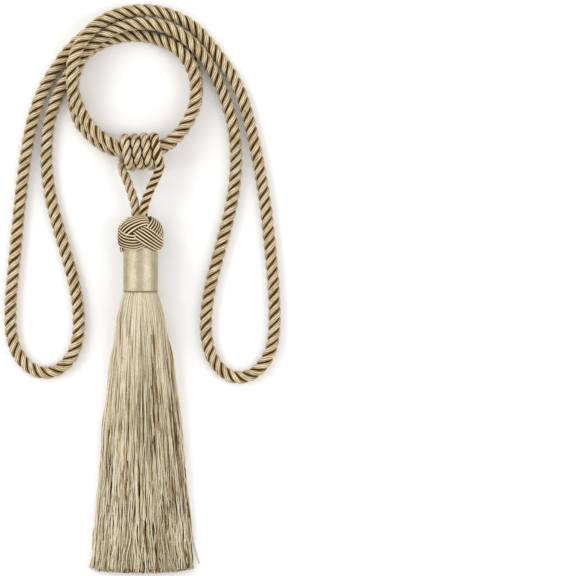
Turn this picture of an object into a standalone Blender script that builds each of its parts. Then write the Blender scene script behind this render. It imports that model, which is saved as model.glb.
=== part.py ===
"""A curtain tieback with a tassel, lying on a flat surface at z = 0.

One endless three-ply rope makes the ring and the two hanging loops. A thinner cord is wound four times
round both runs of the rope, and its two legs carry the tassel: a woven head knot, a thread-wrapped neck and a
skirt. +Y points from the tassel to the ring, +X to the right and +Z up from the surface. The origin is on the
surface, on the flat spot under the middle of the head knot. Sizes are in metres, the tables in millimetres.
"""

import math
import random
from collections import namedtuple

import bmesh
import bpy
import numpy as np
from mathutils import Vector

MM = 0.001
GAP = 0.0003  # between pieces that touch
SHARP_ANGLE = math.radians(50)
FINE_POINTS = 4000  # on a spline, before its points are spaced evenly

Stop = namedtuple("Stop", "x y z")
Section = namedtuple("Section", "along width thickness")
Shape = namedtuple("Shape", "half power")
Turn = namedtuple("Turn", "degrees climb")
Edge = namedtuple("Edge", "radius y")

# Rope and cord: three plies each, laid as a right-handed twist.
PLIES = 3
ROPE_DIAMETER = 0.0090
ROPE_PITCH = 0.0212  # one full turn of a ply
CORD_DIAMETER = 0.0067
CORD_PITCH = 0.0183
STEPS_PER_TURN = 5.5
SHOULDER_ANGLE = math.radians(24)  # from a ply's crest to either shoulder
SHOULDER_SHARE = 0.96  # of the radius
GROOVE_SHARE = 0.55  # of the radius, between two plies

# The cord wound round the two runs of rope. Its angle is 0 on top and 90 degrees on the tassel's side.
WIND_CENTRE = Vector((0.0, 0.05685, 0.01585))
WIND_HALF_Y = 0.00995
WIND_HALF_Z = 0.01265
WIND_POWER = 2.4  # of the superellipse round the rope
WIND_TURN = 0.0069  # along X from one turn to the next
WIND_LEAN = 0.0008  # along X, so that each turn leans over the top
FIRST_TOP_X = -0.0089  # where the first turn crosses the top
FIRST_WIND_ANGLE = -222  # where the left leg has gone under
LAST_WIND_ANGLE = 3 * 360 + 30  # where the right leg leaves
WIND_STEP = 18
# How far along Y the turns have slipped, at angles along the winding: (degrees, metres).
WIND_SLIPS = [(-222, -0.0008), (90, -0.0008), (270, -0.0004), (450, 0.0), (810, -0.0001), (1110, 0.0003)]

# The tassel, along -Y.
KNOT_RADIUS = 0.0162
KNOT_HALF_HEIGHT = 0.0127
KNOT_CENTRE_Z = 0.0161
KNOT_TOP = Shape(0.0132, 2.0)  # the superellipse above the equator, before its end is cut flat
KNOT_BOTTOM = Shape(0.0139, 4.5)
KNOT_COLUMNS = 60
KNOT_ROWS = 19
KNOT_REACH = (-0.0138, 0.0158)  # along the surface from the equator, where the woven relief is
BAND_HALF_WIDTH = 0.0059
BAND_THICKNESS = 0.0034
BAND_SINK = 0.84  # of its thickness, where the band goes under
BAND_SQUARENESS = 5  # of its section, from 2 for a round one
BAND_STEPS = 40  # from one turn to the next
PRESSED_HALF = 0.0045  # of the flat spot on the surface

NECK_RADIUS = 0.01205
NECK_WALL = 0.0012
NECK_END_Y = -0.0408
NECK_CENTRE_Z = 0.0156
NECK_SIDES = 32

SKIRT_LENGTH = 0.1972
SETTLING = 0.045  # below the neck, where the skirt comes to lie on the surface
MOUND = 0.85  # how much narrower the skirt's top layer is than its bottom one
DRIFT = 0.0012  # of the skirt's end, to the right
CORNER_CUT = 0.0040  # how much shorter the outermost locks are
CORNER_POWER = 5
UNEVEN_CUT = 0.0030
PLUG_RADIUS = NECK_RADIUS - NECK_WALL - GAP
PLUG_LENGTH = 0.024
LOCK_GAP = 0.00035
LOCK_ROWS = (13, 16, 17, 16, 13, 9)  # locks in each layer, from the surface up
PLUG_BELOW = 0.0026  # how far the plug stands out of the neck
LOCK_STATIONS = (0.0006, 0.006, 0.020, 0.048, 0.110)  # below the neck, from the locks' roots in the plug

# The rope's middle line, in millimetres, from the middle of the winding along the upper run to the left, up
# the ring's left side, over the top, round the right-hand loop and back under itself to the lower run.
RIGHT_LOOP = [
    Stop(-0.7, 57.5, 20.3), Stop(-7.5, 56.9, 20.3), Stop(-13.5, 58.0, 20.1), Stop(-19.5, 61.8, 19.2),
    Stop(-27.6, 67.2, 17.3), Stop(-35.2, 74.3, 15.2), Stop(-42.1, 85.3, 14.0), Stop(-46.5, 97.8, 17.6),
    Stop(-47.5, 109.8, 22.2), Stop(-45.7, 122.5, 23.2), Stop(-39.8, 134.5, 20.8), Stop(-29.0, 146.3, 16.0),
    Stop(-14.3, 153.5, 12.0), Stop(2.3, 156.0, 9.6), Stop(19.8, 153.1, 8.0), Stop(35.9, 144.7, 6.0),
    Stop(51.7, 127.3, 4.2), Stop(65.5, 107.0, 4.15), Stop(77.2, 72.1, 4.15), Stop(85.5, 30.0, 4.15),
    Stop(90.9, -15.4, 4.15), Stop(93.4, -62.0, 4.15), Stop(89.8, -84.5, 4.15), Stop(81.0, -96.6, 4.15),
    Stop(69.3, -101.4, 4.15), Stop(57.3, -97.0, 4.15), Stop(48.5, -84.5, 4.15), Stop(45.3, -65.0, 4.15),
    Stop(52.0, -23.0, 4.15), Stop(62.9, 19.0, 4.15), Stop(66.4, 56.0, 4.15), Stop(59.8, 92.0, 4.15),
    Stop(47.7, 117.6, 7.2), Stop(35.0, 133.3, 13.2), Stop(19.6, 143.1, 13.9), Stop(0.9, 146.4, 13.6),
    Stop(-18.0, 142.3, 13.2), Stop(-33.3, 132.1, 13.3), Stop(-41.9, 121.3, 13.8), Stop(-46.3, 109.5, 12.9),
    Stop(-47.9, 98.5, 7.3), Stop(-46.5, 87.5, 4.15), Stop(-43.2, 78.0, 4.6), Stop(-36.3, 69.4, 6.2),
    Stop(-28.0, 62.4, 8.7), Stop(-20.0, 58.4, 10.6), Stop(-13.5, 56.7, 11.3), Stop(-7.5, 56.2, 11.4),
]
# The same rope going on from the lower run to the right, under the ring's right side, round the left-hand
# loop and back behind the ring to the upper run, where its end meets its beginning.
LEFT_LOOP = [
    Stop(-0.5, 56.3, 11.4), Stop(6.0, 56.4, 11.4), Stop(12.0, 58.5, 11.2), Stop(18.2, 61.3, 9.9),
    Stop(25.3, 67.7, 7.3), Stop(31.5, 76.2, 5.2), Stop(36.7, 86.5, 4.2), Stop(39.1, 98.5, 4.15),
    Stop(37.5, 113.5, 4.15), Stop(31.3, 129.0, 4.15), Stop(20.0, 141.6, 4.15), Stop(4.4, 147.7, 4.15),
    Stop(-13.5, 147.8, 4.15), Stop(-31.5, 143.3, 4.15), Stop(-47.1, 132.0, 4.15), Stop(-59.5, 116.2, 4.15),
    Stop(-70.5, 96.5, 4.15), Stop(-79.3, 65.1, 4.15), Stop(-85.5, 19.0, 4.15), Stop(-89.9, -27.0, 4.15),
    Stop(-91.9, -62.0, 4.15), Stop(-88.7, -80.5, 4.15), Stop(-80.3, -92.6, 4.15), Stop(-67.7, -98.0, 4.15),
    Stop(-54.9, -93.2, 4.15), Stop(-46.4, -80.5, 4.15), Stop(-43.9, -61.0, 4.15), Stop(-50.5, -22.5, 4.15),
    Stop(-62.0, 18.0, 4.15), Stop(-66.7, 55.0, 4.15), Stop(-61.3, 90.0, 4.15), Stop(-52.0, 109.4, 4.15),
    Stop(-39.6, 125.4, 4.15), Stop(-23.8, 135.0, 4.15), Stop(-4.5, 138.6, 4.15), Stop(7.5, 137.2, 4.8),
    Stop(18.0, 133.2, 9.2), Stop(26.8, 127.6, 12.9), Stop(34.7, 116.8, 13.5), Stop(38.6, 101.0, 13.8),
    Stop(36.6, 86.6, 14.2), Stop(31.5, 75.8, 15.4), Stop(24.1, 66.7, 17.8), Stop(16.7, 61.3, 19.5),
    Stop(11.0, 58.4, 20.2), Stop(5.5, 57.8, 20.3), Stop(-0.3, 57.5, 20.3),
]
# The hanging cord's legs, from the head knot up to the winding.
LEFT_LEG = [
    Stop(-3.4, 13.05, 14.1), Stop(-3.8, 18.2, 14.2), Stop(-5.6, 25.2, 14.5), Stop(-8.2, 33.0, 14.4),
    Stop(-11.5, 41.0, 12.9), Stop(-13.1, 45.6, 10.0),
]
RIGHT_LEG = [
    Stop(2.1, 13.05, 18.5), Stop(2.7, 18.2, 18.4), Stop(5.1, 26.0, 18.4), Stop(8.5, 33.8, 19.0),
    Stop(12.0, 41.0, 20.4), Stop(13.9, 46.6, 23.4),
]

# Where the knot's one woven band turns back, in degrees round the knot from the top as it lies, over three
# turns, and in millimetres along the surface from its equator.
BAND_TURNS = [
    Turn(20, 11.4), Turn(140, -8.4), Turn(288, 9.2), Turn(442, -9.2), Turn(538, 9.6), Turn(705, -7.2),
    Turn(812, 10.4), Turn(959, -8.4), Turn(1100, 11.4),
]

# The neck's outer outline from its top down, in millimetres, with its binding's bead near the lower edge.
NECK_OUTLINE = [
    Edge(11.65, -13.0), Edge(11.90, -13.8), Edge(12.00, -26.9), Edge(12.05, -38.6), Edge(12.35, -39.4),
    Edge(12.35, -40.3), Edge(12.05, -40.8),
]

# The skirt's outline at distances below the neck, in millimetres.
SKIRT = [
    Section(0.0, 20.8, 20.2), Section(6.0, 28.4, 25.6), Section(20.0, 36.4, 27.4), Section(48.0, 45.4, 26.0),
    Section(93.0, 56.0, 22.6), Section(143.0, 64.0, 19.0), Section(200.0, 75.0, 15.0),
]


def material(name, colour, roughness):
    """A plain cloth material of one colour, given as sRGB shares."""
    made = bpy.data.materials.new(name)
    made.use_nodes = True
    shader = made.node_tree.nodes["Principled BSDF"]
    linear = [((c + 0.055) / 1.055) ** 2.4 for c in colour]
    shader.inputs["Base Color"].default_value = (*linear, 1)
    shader.inputs["Roughness"].default_value = roughness
    shader.inputs["Metallic"].default_value = 0.0
    made.diffuse_color = (*linear, 1)
    return made


def add_object(name, mesh, look):
    made = bpy.data.objects.new(name, mesh)
    bpy.context.scene.collection.objects.link(made)
    mesh.materials.append(look)
    return made


def spline(stops, spacing):
    """Points about `spacing` metres apart on the natural cubic spline through the stops."""
    knots = np.array([tuple(stop) for stop in stops]) * MM
    at = np.concatenate([[0], np.cumsum(np.linalg.norm(np.diff(knots, axis=0), axis=1))])
    count, step = len(knots), np.diff(at)
    system, right = np.eye(count), np.zeros_like(knots)
    slopes = np.diff(knots, axis=0) / step[:, None]
    for i in range(1, count - 1):
        system[i, i - 1 : i + 2] = step[i - 1], 2 * (step[i - 1] + step[i]), step[i]
        right[i] = 6 * (slopes[i] - slopes[i - 1])
    bend = np.linalg.solve(system, right)
    fine = np.linspace(0, at[-1], FINE_POINTS)
    i = np.clip(np.searchsorted(at, fine, side="right") - 1, 0, count - 2)
    h, a, b = step[i][:, None], (at[i + 1] - fine)[:, None], (fine - at[i])[:, None]
    curve = (
        (bend[i] * a**3 + bend[i + 1] * b**3) / (6 * h)
        + (knots[i] / h - bend[i] * h / 6) * a
        + (knots[i + 1] / h - bend[i + 1] * h / 6) * b
    )
    along = np.concatenate([[0], np.cumsum(np.linalg.norm(np.diff(curve, axis=0), axis=1))])
    even = np.linspace(0, along[-1], max(2, round(along[-1] / spacing) + 1))
    return np.stack([np.interp(even, along, curve[:, k]) for k in range(3)], axis=1)


def wind_stops():
    """Stops of the turns round the two runs of rope, advancing along X."""
    stops = []
    for degrees in range(FIRST_WIND_ANGLE, LAST_WIND_ANGLE + 1, WIND_STEP):
        angle = math.radians(degrees)
        south, up = math.sin(angle), math.cos(angle)
        power = 2 / WIND_POWER
        slip = np.interp(degrees, *zip(*WIND_SLIPS))
        y = WIND_CENTRE.y + slip - WIND_HALF_Y * math.copysign(abs(south) ** power, south)
        z = WIND_CENTRE.z + WIND_HALF_Z * math.copysign(abs(up) ** power, up)
        x = FIRST_TOP_X + WIND_TURN * degrees / 360 + WIND_LEAN * south
        stops.append(Stop(x / MM, y / MM, z / MM))
    return stops


def frames(points):
    """For each point, two directions across the line, carried along it without spinning."""
    tangents = np.gradient(points, axis=0)
    tangents /= np.linalg.norm(tangents, axis=1)[:, None]
    across = np.cross(tangents[0], (0.0, 0.0, 1.0))
    firsts = []
    for tangent in tangents:
        across = across - tangent * (across @ tangent)
        across /= np.linalg.norm(across)
        firsts.append(across)
    firsts = np.array(firsts)
    return firsts, np.cross(tangents, firsts)


def ply_section():
    """(angle, share of the radius) round a twisted cord: two shoulders on each ply and a groove after it."""
    section = []
    for ply in range(PLIES):
        crest = math.tau * ply / PLIES
        section.append((crest - SHOULDER_ANGLE, SHOULDER_SHARE))
        section.append((crest + SHOULDER_ANGLE, SHOULDER_SHARE))
        section.append((crest + math.pi / PLIES, GROOVE_SHARE))
    return section


def twisted_cord(name, stops, diameter, pitch, look):
    """A closed solid of a twisted cord along the stops, pressed flat where it lies on the surface."""
    points = spline(stops, pitch / STEPS_PER_TURN)
    firsts, seconds = frames(points)
    section = ply_section()
    bm = bmesh.new()
    rings = []
    for i, point in enumerate(points):
        turn = math.tau * i / STEPS_PER_TURN
        ring = []
        for angle, share in section:
            side = math.cos(angle + turn) * firsts[i] + math.sin(angle + turn) * seconds[i]
            at = point + side * share * diameter / 2
            ring.append(bm.verts.new((at[0], at[1], max(at[2], 0.0))))
        rings.append(ring)
    for near, far in zip(rings, rings[1:]):
        for a in range(len(section)):
            b = (a + 1) % len(section)
            bm.faces.new((near[a], near[b], far[b], far[a]))
    bm.faces.new(rings[0][::-1])
    bm.faces.new(rings[-1])
    return finished(name, bm, look)


def finished(name, bm, look):
    bmesh.ops.recalc_face_normals(bm, faces=bm.faces)
    bmesh.ops.triangulate(bm, faces=bm.faces)
    mesh = bpy.data.meshes.new(name)
    bm.to_mesh(mesh)
    bm.free()
    mesh.shade_smooth()
    mesh.set_sharp_from_angle(angle=SHARP_ANGLE)
    return add_object(name, mesh, look)


def knot_profile():
    """Distances along the head knot's outline from its equator, with the radius and the y at each of them."""
    outline = []
    for degrees in range(-90, 91):
        side, up = abs(math.cos(math.radians(degrees))), abs(math.sin(math.radians(degrees)))
        shape = KNOT_TOP if degrees > 0 else KNOT_BOTTOM
        y = min(shape.half * up ** (2 / shape.power), KNOT_HALF_HEIGHT)
        outline.append((KNOT_RADIUS * side ** (2 / shape.power), math.copysign(y, degrees)))
    outline = np.array(outline)
    along = np.concatenate([[0], np.cumsum(np.linalg.norm(np.diff(outline, axis=0), axis=1))])
    return along - along[90], outline[:, 0], outline[:, 1]


def band_path():
    """(angle, climb, level) along the woven band, which goes under at its first crossing after each turn."""
    path = []
    for here, there in zip(BAND_TURNS, BAND_TURNS[1:]):
        for step in range(BAND_STEPS):
            share = step / BAND_STEPS
            swing = (1 - math.cos(math.pi * share)) / 2
            degrees = here.degrees + (there.degrees - here.degrees) * share
            climb = here.climb + (there.climb - here.climb) * swing
            dip = max(math.sin(math.tau * share), 0.0) ** 0.8
            path.append((math.radians(degrees), climb * MM, 1 - BAND_SINK * dip))
    return np.array(path)


def band_rise(path, turn, climb, radius):
    """How high the surface stands at a place on the knot, from 0 in the gaps to 1 on the upper bands."""
    aside = (path[:, 0] - turn + math.pi) % math.tau - math.pi
    away = np.hypot(aside * radius, path[:, 1] - climb) / BAND_HALF_WIDTH
    crown = np.sqrt(np.clip(1 - away**BAND_SQUARENESS, 0, 1))
    return float(np.max(path[:, 2] * crown))


def head_knot(look):
    """A rounded knot woven from one flat band, sitting on the surface with a small spot pressed flat."""
    along, radii, heights = knot_profile()
    path = band_path()
    bm = bmesh.new()
    rings = []
    for climb in np.linspace(*KNOT_REACH, KNOT_ROWS):
        radius = float(np.interp(climb, along, radii))
        y = float(np.interp(climb, along, heights))
        ring = []
        for column in range(KNOT_COLUMNS):
            turn = math.tau * column / KNOT_COLUMNS
            out = radius - BAND_THICKNESS * (1 - band_rise(path, turn, climb, radius))
            z = max(KNOT_CENTRE_Z + out * math.cos(turn), 0.0)
            x = out * math.sin(turn)
            if math.cos(turn) < 0 and max(abs(x), abs(climb)) < PRESSED_HALF:
                z = 0.0
            ring.append(bm.verts.new((x, y, z)))
        rings.append(ring)
    for low, high in zip(rings, rings[1:]):
        for a in range(KNOT_COLUMNS):
            b = (a + 1) % KNOT_COLUMNS
            bm.faces.new((low[a], low[b], high[b], high[a]))
    for ring, y in ((rings[0], -KNOT_HALF_HEIGHT), (rings[-1], KNOT_HALF_HEIGHT)):
        pole = bm.verts.new((0, y, KNOT_CENTRE_Z))
        for a in range(KNOT_COLUMNS):
            bm.faces.new((ring[a], ring[(a + 1) % KNOT_COLUMNS], pole))
    return finished("head_knot", bm, look)


def neck_wrap(look):
    """The thread-wrapped sleeve, turned about the tassel's axis, with the binding round its lower edge."""
    inside = (NECK_RADIUS - NECK_WALL) / MM
    profile = [Edge(inside, NECK_OUTLINE[0].y), *NECK_OUTLINE, Edge(inside, NECK_OUTLINE[-1].y)]
    bm = bmesh.new()
    rings = []
    for side in range(NECK_SIDES):
        angle = math.tau * side / NECK_SIDES
        ring = []
        for edge in profile:
            x, up = edge.radius * MM * math.sin(angle), edge.radius * MM * math.cos(angle)
            ring.append(bm.verts.new((x, edge.y * MM, NECK_CENTRE_Z + up)))
        rings.append(ring)
    for side, ring in enumerate(rings):
        following = rings[(side + 1) % NECK_SIDES]
        for a in range(len(profile)):
            b = (a + 1) % len(profile)
            bm.faces.new((ring[a], ring[b], following[b], following[a]))
    return finished("neck_wrap", bm, look)


def skirt_size(along):
    """Half the skirt's width and its thickness at a distance below the neck."""
    places = [row.along * MM for row in SKIRT]
    width = np.interp(along, places, [row.width * MM for row in SKIRT])
    return width / 2, np.interp(along, places, [row.thickness * MM for row in SKIRT])


def lock_corners(row, column, along):
    """The four corners of one lock's section at a distance below the neck.

    Near the neck the layers fill a circle round the tassel's axis. Further down they settle into a mound that
    is flat on the surface, and its lower layers are the wider ones.
    """
    layers = len(LOCK_ROWS)
    half, thickness = skirt_size(along)
    middle = (2 * row + 1) / layers - 1
    settled = min(max(along / SETTLING, 0.0), 1.0)
    settled = settled * settled * (3 - 2 * settled)
    round_chord = math.sqrt(1 - middle**2)
    mound_chord = math.sqrt(1 - MOUND * ((row + 0.5) / layers) ** 2)
    chord = half * (round_chord * (1 - settled) + mound_chord * settled)
    floor = (NECK_CENTRE_Z - thickness / 2) * (1 - settled)
    low = floor + thickness * row / layers + (LOCK_GAP if row else 0.0)
    high = floor + thickness * (row + 1) / layers
    cell = 2 * chord / LOCK_ROWS[row]
    left = -chord + cell * column + LOCK_GAP / 2 + DRIFT * settled * along / SKIRT_LENGTH
    right = left + cell - LOCK_GAP
    y = NECK_END_Y - along
    return [(left, y, low), (right, y, low), (right, y, high), (left, y, high)]


def locks():
    """Every lock of the skirt, as separate closed solids of four sides, cut off unevenly."""
    rng = random.Random(7)
    bm = bmesh.new()
    for row, count in enumerate(LOCK_ROWS):
        for column in range(count):
            aside = abs(2 * (column + 0.5) / count - 1)
            length = SKIRT_LENGTH - CORNER_CUT * aside**CORNER_POWER - UNEVEN_CUT * rng.random()
            rings = []
            for along in (*LOCK_STATIONS, length):
                rings.append([bm.verts.new(corner) for corner in lock_corners(row, column, along)])
            for near, far in zip(rings, rings[1:]):
                for a in range(4):
                    b = (a + 1) % 4
                    bm.faces.new((near[a], near[b], far[b], far[a]))
            bm.faces.new(rings[0][::-1])
            bm.faces.new(rings[-1])
    bmesh.ops.recalc_face_normals(bm, faces=bm.faces)
    mesh = bpy.data.meshes.new("locks")
    bm.to_mesh(mesh)
    bm.free()
    made = bpy.data.objects.new("locks", mesh)
    bpy.context.scene.collection.objects.link(made)
    made.hide_render = True
    made.display_type = "WIRE"
    return made


def skirt(look):
    """The skirt: a plug inside the neck, and the locks that grow out of it, joined into one solid."""
    bm = bmesh.new()
    bmesh.ops.create_cone(
        bm, cap_ends=True, segments=NECK_SIDES, radius1=PLUG_RADIUS, radius2=PLUG_RADIUS, depth=PLUG_LENGTH
    )
    for vert in bm.verts:
        x, up, along = vert.co
        vert.co = (x, NECK_END_Y - PLUG_BELOW + PLUG_LENGTH / 2 + along, NECK_CENTRE_Z + up)
    made = finished("skirt", bm, look)
    join = made.modifiers.new("join_locks", "BOOLEAN")
    join.operation = "UNION"
    join.solver = "EXACT"
    join.object = locks()
    return made


def main():
    for old in list(bpy.data.objects):
        bpy.data.objects.remove(old, do_unlink=True)
    rope_look = material("rope_gold", (0.76, 0.68, 0.50), 0.55)
    cord_look = material("cord_gold", (0.75, 0.67, 0.49), 0.55)
    knot_look = material("knot_gold", (0.76, 0.67, 0.48), 0.50)
    neck_look = material("neck_satin", (0.79, 0.74, 0.60), 0.35)
    skirt_look = material("skirt_champagne", (0.80, 0.75, 0.61), 0.50)
    twisted_cord("rope", RIGHT_LOOP + LEFT_LOOP, ROPE_DIAMETER, ROPE_PITCH, rope_look)
    hanger = LEFT_LEG + wind_stops() + RIGHT_LEG[::-1]
    twisted_cord("hanger", hanger, CORD_DIAMETER, CORD_PITCH, cord_look)
    head_knot(knot_look)
    neck_wrap(neck_look)
    skirt(skirt_look)


main()
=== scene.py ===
"""The dressed model of a curtain tieback with a tassel, lying on a pale surface."""

import math
import random
from collections import namedtuple

import bpy
import numpy as np
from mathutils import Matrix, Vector


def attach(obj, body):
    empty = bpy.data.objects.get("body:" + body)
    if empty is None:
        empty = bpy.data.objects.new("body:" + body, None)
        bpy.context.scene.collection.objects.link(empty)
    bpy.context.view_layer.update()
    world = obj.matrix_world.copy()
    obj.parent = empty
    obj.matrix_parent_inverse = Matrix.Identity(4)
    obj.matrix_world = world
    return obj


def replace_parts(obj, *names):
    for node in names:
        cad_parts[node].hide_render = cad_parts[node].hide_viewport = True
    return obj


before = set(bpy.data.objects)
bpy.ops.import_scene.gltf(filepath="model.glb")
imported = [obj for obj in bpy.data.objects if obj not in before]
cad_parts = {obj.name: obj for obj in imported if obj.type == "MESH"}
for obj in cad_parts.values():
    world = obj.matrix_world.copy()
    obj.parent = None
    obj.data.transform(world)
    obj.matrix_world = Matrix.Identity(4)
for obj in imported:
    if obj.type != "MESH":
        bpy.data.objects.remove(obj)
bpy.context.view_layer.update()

MM = 0.001

Stop = namedtuple("Stop", "x y z")
Section = namedtuple("Section", "along width thickness")
Shape = namedtuple("Shape", "half power")
Turn = namedtuple("Turn", "degrees climb")
Spread = namedtuple("Spread", "degrees share")
Depth = namedtuple("Depth", "climb depth")
Wave = namedtuple("Wave", "smallest largest shortest longest")
Lean = namedtuple("Lean", "size across up")
Lamp = namedtuple("Lamp", "name place target size watts")

# The camera looks straight down. The photograph is 576 pixels wide, at 0.70 mm to a pixel of the tieback,
# and its middle lies to the right of the tassel.
PIXEL = 0.70 * MM
PHOTO_WIDTH = 576
PHOTO_MIDDLE = (288, 288)
ORIGIN_PIXEL = (141, 233)
LENS = 200
SENSOR = 36
CAMERA_RISE = PHOTO_WIDTH * PIXEL * LENS / SENSOR
MIDDLE_HEIGHT = 0.010  # over the surface, where the photograph's scale holds
FARTHEST_VIEW = 20  # from the camera

SPLINE_POINTS = 6000  # on a spline, before its points are spaced evenly
FLOOR_CLEARANCE = 0.00005

ROPE_DIAMETER = 0.0090
ROPE_PITCH = 0.0212
ROPE_STEP = 0.0012  # between the rings of its plies
CORD_DIAMETER = 0.0067
CORD_PITCH = 0.0183
CORD_STEP = 0.0008
CORD_REACH = 0.003  # of the hanger's plies past its middle line, into the head knot
CORD_SHADE_WIDENS_AT = 0.324  # along the hanger, where its right leg begins and the painted shade in its grooves grows wider
PLIES = 3
PLY_HALF_ANGLE = math.radians(61)  # a ply reaches this far round the rope on either side of its crest
GROOVE_DEPTH = 0.50  # of the rope's radius
GROOVE_POWER = 2.8
PLY_POINTS = 17
PLY_CROWDING = 1.5  # over 1, a ply's points crowd towards its grooves
PLY_CORE = 0.12  # where a ply closes inside the rope, of its radius
PLY_CORE_SPREAD = 0.6  # of the half angle, where the outer two of its three points there lie

WIND_CENTRE = Vector((0.0, 0.05685, 0.01585))
WIND_HALF_Y = 0.00995
WIND_HALF_Z = 0.01265
WIND_POWER = 2.4
WIND_TURN = 0.0069  # from one turn to the next
WIND_LEAN = 0.0008  # of a turn's side towards the tassel, to the right
FIRST_TOP_X = -0.0089  # where the winding's angle is 0
FIRST_WIND_ANGLE = -222
LAST_WIND_ANGLE = 3 * 360 + 30
WIND_STEP = 18
# How far the turns lie away from the tassel, at angles along the winding.
WIND_SLIPS = [(-222, -0.0008), (90, -0.0008), (270, -0.0004), (450, 0.0), (810, -0.0001), (1110, 0.0003)]
WIND_CORE_RISE = 0.0009  # of the tube painted dark as shade inside the winding, over the turns' middle line
WIND_CORE_ENDS = (-0.0076, 0.0093)
WIND_CORE_SIDES = 48
WIND_CORE_RINGS = 8

KNOT_RADIUS = 0.0162
KNOT_HALF_HEIGHT = 0.0127
KNOT_CENTRE_Z = 0.0161
KNOT_TOP = Shape(0.0132, 2.0)
KNOT_BOTTOM = Shape(0.0139, 4.5)
SLOPE_STEP = 0.0006  # along the knot's outline, to either side of a point, where its slope is taken
BAND_REVOLUTIONS = 3
BAND_STEPS = 120  # from one turn of the band to the next
BAND_CIRCLE = 0.86  # of the knot's radius, where the band's direction is worked out
BAND_CORDS = 6
BAND_SPACING = 0.00200
BAND_CORD_RADIUS = 0.00098
BAND_CORD_SIDES = 12
BAND_DROP = 0.0022  # how far the band sinks where it goes under
DIP_START = 0.05  # share of the way to the next turn, where the band begins to sink
DIP_LENGTH = 0.45
DIP_POWER = 0.8
BAND_SPREADS = [  # the distance between the cords, as a share of the spacing
    Spread(20, 1.15), Spread(70, 1.0), Spread(980, 1.0), Spread(1040, 1.42), Spread(1100, 1.15),
]
CORD_SWELL = 0.6  # how much of that spreading the cords' own thickness takes up
CROSSING_SKEW = 4.0  # how much sooner a band's upper cords cross, per metre, where it rises steeply
CORD_FACING = 0.80  # under 1, the sides of the cords that are painted light, with painted shade beyond them, lean towards the knot's outline
KNOT_CORE_REACH = (-0.0262, 0.0236)  # of the core painted dark as shade, along the knot's outline
KNOT_CORE_ROWS = 60
KNOT_CORE_SIDES = 48
KNOT_CORE_DEPTHS = [
    Depth(-0.013, 0.0024), Depth(-0.004, 0.0031), Depth(0.004, 0.0031), Depth(0.013, 0.0010),
]
TAIL_RADIUS = 0.00115  # of the cord's end below the knot
TAIL_STEP = 0.0005

NECK_RADIUS = 0.01205
NECK_TOP_Y = -0.0100
NECK_END_Y = -0.0408
NECK_CENTRE_Z = 0.0156
NECK_SIDES = 96
THREAD_PITCH = 0.00045
THREAD_RISE = 0.00005
THREAD_SHARES = (0.0, 0.25, 0.5, 0.75)  # of the way across a thread, where its rings lie
BINDING_RADIUS = 0.00030
BINDING_SINK = 0.0001  # of the binding's middle, under the neck's surface
BINDING_STEPS = 120
BINDING_SIDES = 8

SKIRT_LENGTH = 0.1972
SETTLING = 0.045  # below the neck, where the strands come to lie on the surface
LEAST_ROUND = 0.02  # under the root in round_share, so that its top and bottom rows keep some width
MOUND = 0.85  # how much narrower the skirt's top layer is than its bottom one
ARCH = 0.25  # how much lower the top layer lies at its sides, as a share of the thickness
DRIFT = 0.0012  # of the skirt's end, to the right
CORNER_CUT = 0.0030  # how much shorter the outermost strands are
CORNER_POWER = 5
UNEVEN_CUT = 0.0040
SPLAY = 0.0030  # of the strands' ends, to either side
SPLAY_POWER = 5
FLARE = 0.0024  # of the ends at the left corner, outwards
FLARE_FROM = 0.70  # of the skirt's half width
FLARE_POWER = 9
SIDE_POWER = 4  # how near the skirt's sides the strands begin to keep to their places
LONG_WAVE = Wave(0.00010, 0.00065, 0.018, 0.070)
SHORT_WAVE = Wave(0.00005, 0.00024, 0.009, 0.014)
STRAND_WAVES = [LONG_WAVE] * 3 + [SHORT_WAVE]
WAVE_POWER = 1.2  # how late a strand begins to swing to either side
WAVE_UP = 0.6  # how far it swings up and down, as a share of that
WAVE_UP_PHASE = 2.3  # so that it swings up and down at other places
LOCK_LEANS = [Lean(0.0007, 23.0, 9.0), Lean(0.0004, 51.0, 20.0)]  # how far neighbours lean together
SEED = 11  # of the random draws
STRAND_ROWS = 17
STRANDS_ACROSS = 100
ROW_NARROWING = 0.80  # over 0, the upper rows have fewer strands
COLUMN_JITTER = 0.45  # of the distance between strands
ROW_JITTER = 0.40  # of the distance between rows
STRAND_RADIUS = 0.00038
STRAND_THICKNESSES = (0.80, 1.15)  # the least and the greatest, over STRAND_RADIUS
UPPER_STATIONS = np.linspace(-0.0004, 0.02, 9)  # along a strand, from just inside the neck
LOWER_STATIONS = np.linspace(0.0235, SKIRT_LENGTH, 62)
STRAND_STATIONS = np.concatenate([UPPER_STATIONS, LOWER_STATIONS])
INNER_STATIONS = STRAND_STATIONS[-12:]  # for the strands inside
LAST_STEP = 0.002  # from a strand's last station to its end, at least
STRAND_SIDES = 5
INNER_SIDES = 4
WHOLE_LAYERS = 4  # of strands modelled from neck to end, from the top down
WHOLE_ASIDE = 5  # strands of each lower row, at either side
OUTER_TONES = (0.50, 1.0)
# Strands deep inside get these low tones as painted shade.
INNER_TONES = (0.0, 0.25)
LAYER_SHADE = 0.17  # painted shade: how much darker the strands of each lower layer are, apart from those at the sides
SHADED_LAYERS = 3
OPEN_SIDE = 0.88  # share of the skirt's half width where the lower layers come into view
OPEN_POWER = 4
SKIRT_PIECES = 3
STRAY_RADIUS = 0.9 * STRAND_RADIUS
STRAY_STEP = 0.002
STRAY_TONE = 0.7
STRAY_SIDES = 6
SKIRT_CORE_SHORT = 0.014  # how far the core painted dark as shade ends before the strands
SKIRT_CORE_RINGS = 24
SKIRT_CORE_SIDES = 36
SKIRT_CORE_ACROSS = 0.90
SKIRT_CORE_UP = 0.33
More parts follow.
